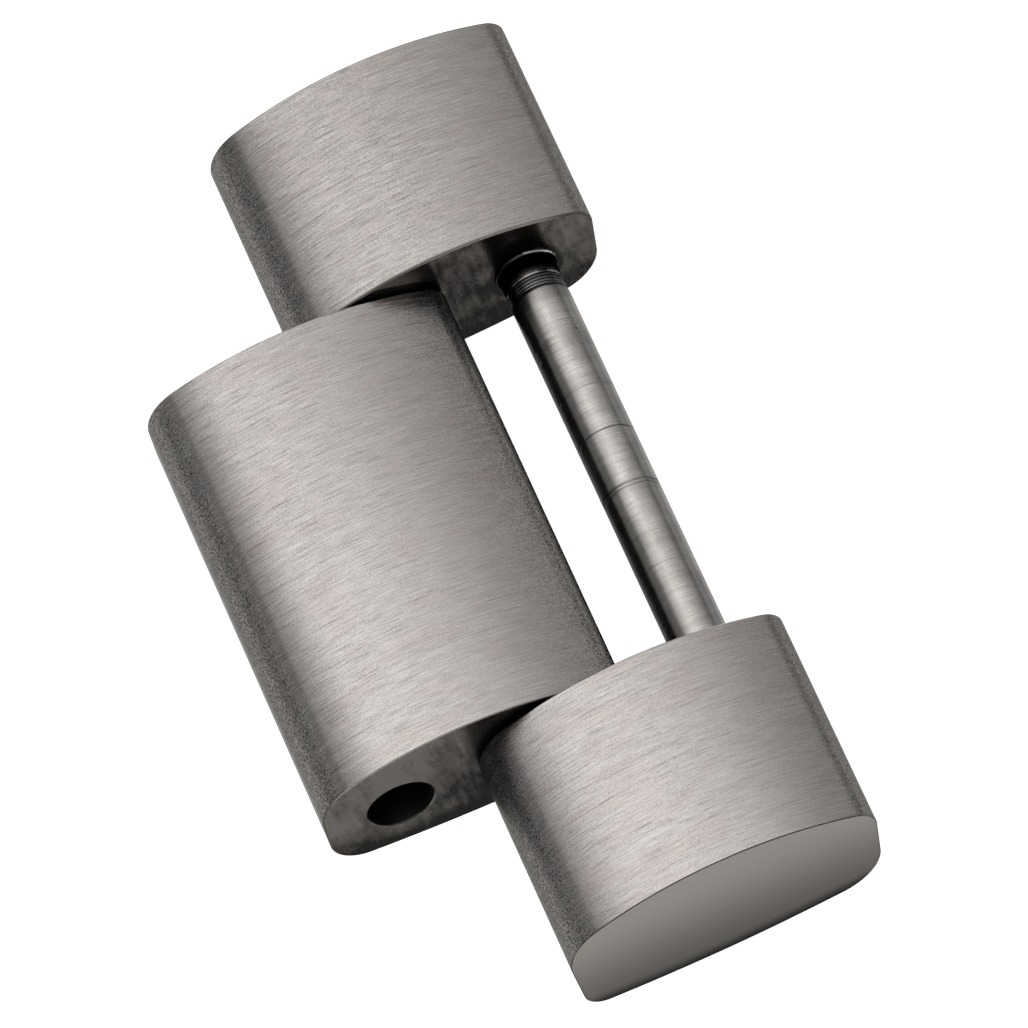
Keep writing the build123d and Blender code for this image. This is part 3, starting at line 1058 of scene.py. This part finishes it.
def shaft_radius(y):
    """Radius of the plain part: the shaft, less the groove, the rings and the score lines. A
    ring is (1 - cos) / 2 of one turn to each pitch. A score is a narrow bell-shaped dip,
    depth * exp(-(2 d / width)^2) at a distance d from its middle."""
    middle = (GROOVE["from"] + GROOVE["to"]) / 2
    reach = (GROOVE["to"] - GROOVE["from"]) / 2
    inside = np.clip((reach - np.abs(y - middle)) / GROOVE["slope"], 0, 1)
    rings = 0.5 - 0.5 * np.cos(2 * pi * (y - GROOVE["from"]) / GROOVE_RING["pitch"])
    radius = SHAFT - inside * (SHAFT - GROOVE["radius"] - GROOVE_RING["depth"] * rings)
    ripple = 0.5 - 0.5 * np.cos(2 * pi * (y - RING_CLUSTER["from"]) / RING_CLUSTER["pitch"])
    held = (y > RING_CLUSTER["from"]) & (y < RING_CLUSTER["to"])
    radius = radius - np.where(held, RING_CLUSTER["depth"] * ripple, 0)
    for score in SCORES:
        radius = radius - score["depth"] * np.exp(-((2 * (y - score["at"]) / score["width"]) ** 2))
    return radius


# %% Rows of the screw along Y, closest where its marks are finest
STEP = {"plain": 0.2, "score": 0.006, "ring": 0.0065, "thread": THREAD_PITCH / 12}
SCORE_REACH = 0.04
RINGED_SPANS = [(2.735, 3.065), (4.13, 4.75)]


def rows_between(low, high, kind):
    """Places from low to high, about one step of that kind apart."""
    return np.linspace(low, high, max(2, int(round((high - low) / STEP[kind])) + 1))


score_spans = [(score["at"] - SCORE_REACH, score["at"] + SCORE_REACH) for score in SCORES]
score_rows = [rows_between(*span, "score") for span in score_spans]
ring_rows = [rows_between(*span, "ring") for span in RINGED_SPANS]
plain_rows = rows_between(TIP_Y + TIP_CHAMFER, THREAD_FROM - 0.1, "plain")
thread_rows = rows_between(THREAD_FROM, THREAD_TO, "thread")
shaft_rows = np.unique(np.concatenate([plain_rows, *score_rows, *ring_rows, thread_rows]).round(3))
print("rows along the shaft:", len(shaft_rows))


def quarter(size, steps=5):
    """Pairs (inset, way in) of a quarter round, from the flat to the side."""
    turn = np.linspace(0, pi / 2, steps)
    return size * (1 - np.sin(turn)), size * (1 - np.cos(turn))


def screw_body():
    """The screw from its tip up to the slot's floor, as one closed ring grid."""
    soft_in, soft_up = quarter(TIP_ROUND)
    tip_radius = SHAFT - TIP_CHAMFER
    tip_r = np.concatenate([[0.0, tip_radius * 0.5], tip_radius - soft_in])
    tip_y = np.concatenate([[TIP_Y, TIP_Y], TIP_Y + soft_up])
    base = shaft_radius(shaft_rows)
    neck_r = [SHAFT, SHAFT, SHAFT + NECK_ROUND]
    neck_y = [THREAD_TO + THREAD_RUNOUT, HEAD_SEAT - UNDER_HEAD, HEAD_SEAT]
    head_r = [HEAD - NECK_ROUND, HEAD, HEAD]
    head_y = [HEAD_SEAT, HEAD_SEAT + NECK_ROUND, SLOT_FLOOR]
    radius = np.concatenate([tip_r, base, neck_r, head_r])
    y = np.concatenate([tip_y, shaft_rows, neck_y, head_y])
    turns = ring_turns(radius, SLOT_HALF)
    fade = np.clip(np.minimum(y - THREAD_FROM, THREAD_TO - y) / THREAD_PITCH, 0, 1)
    crest = thread_wave(pi / 2 - turns, y[:, None]) * fade[:, None]
    full = radius[:, None] + (THREAD_CREST - SHAFT) * crest
    level = np.broadcast_to(y[:, None], full.shape)
    return np.stack([full * np.cos(turns), level, full * np.sin(turns)], axis=-1)


# %% The slotted head, with places along the slot as shares of the way from its middle
CHORD = np.linspace(-1, 1, ARC_COLUMNS + 1)


def jaw_loop(radius, slot_half):
    """One jaw at one height: points along its arc and points along its slot wall."""
    edge = jaw_turn(np.array([radius]), slot_half)[0]
    turn = edge + (pi - 2 * edge) * np.linspace(0, 1, ARC_COLUMNS + 1)
    arc_points = np.stack([radius * np.cos(turn), radius * np.sin(turn)], axis=1)
    wall = np.stack([-CHORD * radius * cos(edge), np.full(len(CHORD), slot_half)], axis=1)
    return arc_points, wall


def screw_head():
    """Sheets of the two jaws above the slot's floor, their flat tops, and the floor itself."""
    round_in, round_down = quarter(HEAD_ROUND)
    break_in, break_down = quarter(SLOT_BREAK)
    rounded = {*(HEAD_TOP - round_down), *(HEAD_TOP - break_down)}
    levels = sorted(rounded | {SLOT_FLOOR, SLOT_FLOOR + JAW_STEP})
    radii = HEAD - np.interp(HEAD_TOP - np.array(levels), round_down, round_in, right=0.0)
    halves = SLOT_HALF + np.interp(HEAD_TOP - np.array(levels), break_down, break_in, right=0.0)
    loops = [jaw_loop(radius, half) for radius, half in zip(radii, halves)]
    arcs = np.stack([loop[0] for loop in loops])
    walls = np.stack([loop[1] for loop in loops])
    share = np.array(JAW_SHARES)[:, None, None]
    cap = walls[-1][None] * (1 - share) + arcs[-1][None] * share
    level = np.array(levels)[:, None]
    sheets = []
    for turn in (1, -1):
        for grid, y in ((arcs, level), (walls, level), (cap, HEAD_TOP)):
            sheets.append(place(grid * turn, y, 0, 0, 0))
    across = np.linspace(-1, 1, SLOT_COLUMNS + 1) * jaw_turn(np.array([HEAD]), SLOT_HALF)[0]
    ends = HEAD * np.stack([np.cos(across), np.sin(across)], axis=1)
    floor = ends[:, None, :] * np.stack([-CHORD, np.ones(len(CHORD))], axis=1)[None]
    sheets.append(place(floor, SLOT_FLOOR, 0, 0, 0))
    return sheets


def at_screw(points):
    """Moves points from the screw's own axis to its place in the link."""
    return points + np.array([SCREW_X, 0, HINGE_Z])


screw_sheets = [(at_screw(screw_body()), 0, True)]
screw_sheets += [(at_screw(points), 0, False) for points in screw_head()]
link_screw = shell(
    "link_screw_surface", screw_sheets, [turned], "screw", "link_screw"
)

# %% [markdown]
# ## The hinge pin
#
# A plain ground pin with rounded ends, pressed into both outer links. It is all but hidden when
# the link is together: only the thin gaps beside the centre link let a little of it be seen.
# A cylinder with a Bevel modifier would do. One more outline spun round needs no new helper.

# %% Hinge pin
PIN_RADIUS = 0.60
PIN_REACH = INNER_FACE + 2.20
PIN_ROUND = 0.12
PIN_PLAIN = 0.3
PIN_ROWS = 40
PIN_COLUMNS = 96


def pin_body():
    """A cylinder along Y with quarter rounds at both ends, closed at both middles."""
    inset, way_in = quarter(PIN_ROUND, 7)
    end_r = np.concatenate([[0.0, PIN_RADIUS / 2], PIN_RADIUS - inset])
    end_y = np.concatenate([[0.0, 0.0], way_in])
    middle = np.linspace(-PIN_REACH + PIN_PLAIN, PIN_REACH - PIN_PLAIN, PIN_ROWS)
    radius = np.concatenate([end_r, np.full(len(middle), PIN_RADIUS), end_r[::-1]])
    y = np.concatenate([-PIN_REACH + end_y, middle, (PIN_REACH - end_y)[::-1]])
    turn = np.linspace(0, 2 * pi, PIN_COLUMNS, endpoint=False)
    flat = radius[:, None, None] * np.stack([np.cos(turn), np.sin(turn)], axis=1)[None]
    return place(flat, y[:, None], HINGE_X, HINGE_Z, 0)


pin_sheets = [(pin_body(), 0, True)]
hinge_pin = shell(
    "hinge_pin_surface", pin_sheets, [ground], "outer_links", "hinge_pin"
)

# %% All five pieces
pieces = [centre_link, near_link, far_link, link_screw, hinge_pin]
print("triangles in all:", sum(len(piece.data.loop_triangles) for piece in pieces))

# %% [markdown]
# ## Floor and light
#
# Polished metal shows its surroundings, so the surroundings are the lighting. Small metal parts
# are photographed in a tent of white cloth: bright overhead, darker at the level of the table,
# and darkest where the camera stands. Area lamps would do for plastic, but in metal each lamp
# shows as a hard patch. Here the tent is a dome that glows by a formula of its own direction,
# seen in reflections and by its light, but not by the camera. The floor is white paper. It
# takes the link's shadow, and glows a little, by one strength for the camera, which makes it
# white, and by another for what the metal mirrors.

# %% Pale floor
FLOOR_RADIUS = 0.45
TENT_RADIUS = 0.44
PAPER_SEEN = 0.90
PAPER_MIRRORED = 0.83
floor_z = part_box("near_outer_link")[0].z


def disc(name, radius, height, steps=96):
    """A flat round sheet at that height."""
    turn = np.linspace(0, 2 * pi, steps, endpoint=False)
    level = np.full(steps, height)
    corners = np.stack([radius * np.cos(turn), radius * np.sin(turn), level], axis=1)
    mesh = bpy.data.meshes.new(name)
    mesh.from_pydata(corners, [], [list(range(steps))])
    made = bpy.data.objects.new(name, mesh)
    bpy.context.scene.collection.objects.link(made)
    return made


floor = disc("floor", FLOOR_RADIUS, floor_z)
paper = Finish("white_paper")
rays = paper.node("ShaderNodeLightPath")
mirrored = rays.at("Is Glossy Ray") + rays.at("Is Transmission Ray")
strength = PAPER_SEEN * rays.at("Is Camera Ray") + PAPER_MIRRORED * mirrored
cloth_light = paper.node("ShaderNodeBsdfDiffuse", None, {"Color": grey(0.90)})
glow = paper.node("ShaderNodeEmission", None, {"Color": grey(1.0), "Strength": strength})
both = paper.node("ShaderNodeAddShader", None, {0: cloth_light, 1: glow})
paper.node("ShaderNodeOutputMaterial", None, {"Surface": both})
floor.data.materials.append(paper.material)
print("floor at z in mm:", round(floor_z / MM, 4))

# %% Light tent
TENT_SKIRT = -0.02
CLOTH_WHITE = (1.0, 0.985, 0.97, 1.0)

# Places on the tent as shares of its radius, where each part of it begins and is complete.
TENT = {
    "right_wall": (-0.2, 0.6),
    "sheet_falls": (-0.1, 0.7),
    "sheet_left": (-0.64, -0.40),
    "sheet_height": (0.1, 0.6),
    "camera": (0.25, 0.8),
}


def tent_mesh(radius, rows=24, columns=64):
    """A half sphere: a ring for each height angle and a column for each direction."""
    height = np.linspace(TENT_SKIRT, pi / 2, rows)[:, None]
    turn = np.linspace(0, 2 * pi, columns, endpoint=False)[None]
    flat = np.cos(height)
    rise = np.broadcast_to(np.sin(height), (rows, columns))
    grid = np.stack([flat * np.cos(turn), flat * np.sin(turn), rise], axis=-1)
    mesh = bpy.data.meshes.new("light_tent")
    mesh.from_pydata(radius * grid.reshape(-1, 3), [], grid_faces(rows, columns, 0, True))
    made = bpy.data.objects.new("light_tent", mesh)
    bpy.context.scene.collection.objects.link(made)
    return made


tent = tent_mesh(TENT_RADIUS)
tent.visible_camera = False
cloth = Finish("tent_cloth")
on_dome = cloth.scaled(cloth.node("ShaderNodeTexCoord").at("Object"), (1 / TENT_RADIUS,) * 3)
x, y, z = cloth.split(on_dome)
walls = 0.2 + 0.13 * cloth.ramp(x, *TENT["right_wall"])
near_x, far_x = TENT["sheet_falls"]
fall = cloth.node("ShaderNodeMapRange", None, {"Value": x, "From Min": near_x, "From Max": far_x})
sheet = cloth.ramp(z, *TENT["sheet_height"]) * cloth.ramp(x, *TENT["sheet_left"]) * (1.0 - fall)
camera_side = 1.0 - 0.85 * cloth.ramp(0.0 - y, *TENT["camera"])
glow = camera_side * (walls + 0.75 * sheet)
emission = cloth.node("ShaderNodeEmission", None, {"Color": CLOTH_WHITE, "Strength": glow})
cloth.node("ShaderNodeOutputMaterial", None, {"Surface": emission})
tent.data.materials.append(cloth.material)
print("tent radius in m:", TENT_RADIUS)

# %% White surroundings
world = bpy.data.worlds.new("white_room")
world.use_nodes = True
world.node_tree.nodes["Background"].inputs["Color"].default_value = (1.0, 1.0, 1.0, 1.0)
world.node_tree.nodes["Background"].inputs["Strength"].default_value = 1.0
world.cycles.sampling_method = "NONE"
bpy.context.scene.world = world
bpy.context.scene.view_settings.view_transform = "Standard"
print("view transform:", bpy.context.scene.view_settings.view_transform)

# %% [markdown]
# ## Camera
#
# The photograph was taken from high above with a long lens, from the side of the near outer
# link, and it is turned in its frame. The camera looks at a point between the two pins and is
# rolled by the same angle. It could be placed by eye, but its angles and its distance were
# fitted to the outlines of the bars, so the sizes read from them hold.

# %% Camera
LENS = 430.0
SENSOR = 36.0
FRAME_PIXELS = 1028
PIXELS_PER_MM = 50.6428
AZIMUTH = radians(0.9744)
ELEVATION = radians(59.6702)
ROLL = radians(-25.8679)
AIM = Vector((3.35, 0.0, 0.0)) * MM
SIDEWAYS = 0.9518 * MM
UPWARDS = 0.3813 * MM

back = Vector((sin(AZIMUTH) * cos(ELEVATION), -cos(AZIMUTH) * cos(ELEVATION), sin(ELEVATION)))
level = Vector((cos(AZIMUTH), sin(AZIMUTH), 0.0))
upright = back.cross(level)
right = cos(ROLL) * level + sin(ROLL) * upright
up = back.cross(right)
distance = LENS / SENSOR * FRAME_PIXELS / PIXELS_PER_MM * MM
camera_data = bpy.data.cameras.new("camera")
camera_data.lens = LENS
camera_data.sensor_width = SENSOR
camera_data.clip_start = 0.01
camera_data.clip_end = 5.0
camera = bpy.data.objects.new("camera", camera_data)
bpy.context.scene.collection.objects.link(camera)
turned_to = Matrix((right, up, back)).transposed()
standing_at = AIM + distance * back + SIDEWAYS * right + UPWARDS * up
camera.matrix_world = Matrix.Translation(standing_at) @ turned_to.to_4x4()
bpy.context.scene.camera = camera
print("camera distance in mm:", round(distance / MM, 2))
